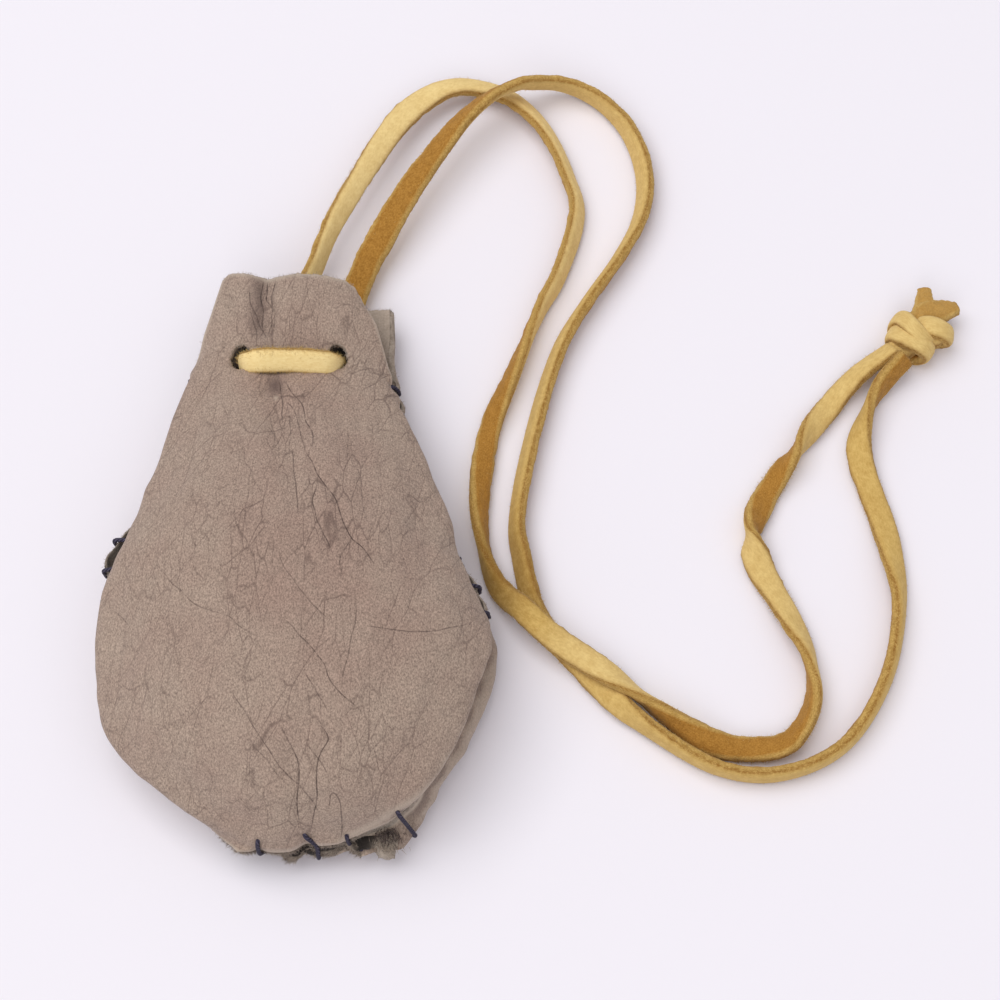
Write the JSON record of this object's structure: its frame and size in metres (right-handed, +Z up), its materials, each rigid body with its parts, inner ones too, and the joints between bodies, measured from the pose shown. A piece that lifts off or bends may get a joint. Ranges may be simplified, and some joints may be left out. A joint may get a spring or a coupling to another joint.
{
  "type": "medicine bag",
  "caption": "Small pear-shaped leather medicine bag of sewn front and back panels, closed at the neck by a flat leather thong that forms a long knotted neck loop, lying on its back.",
  "frame": {"origin": "bottom centre of the bag's own box, without the loose thong and its knot, on the surface that the bag lies on", "axes": "+Y along the bag from the chin to the mouth, +X to the right as seen from above, +Z up from the surface"},
  "size_m": [0.1505, 0.151, 0.0249],
  "materials": {
    "panel_leather": "taupe nubuck with fine grain and creases",
    "thong_leather": "golden lace, smooth on one side and suede on the other"
  },
  "bodies": {
    "root": {"front_panel": "panel_leather", "back_panel": "panel_leather", "thong_bridge": "thong_leather", "thong_left": "thong_leather", "thong_right": "thong_leather", "knot": "thong_leather"}
  },
  "joints": []
}
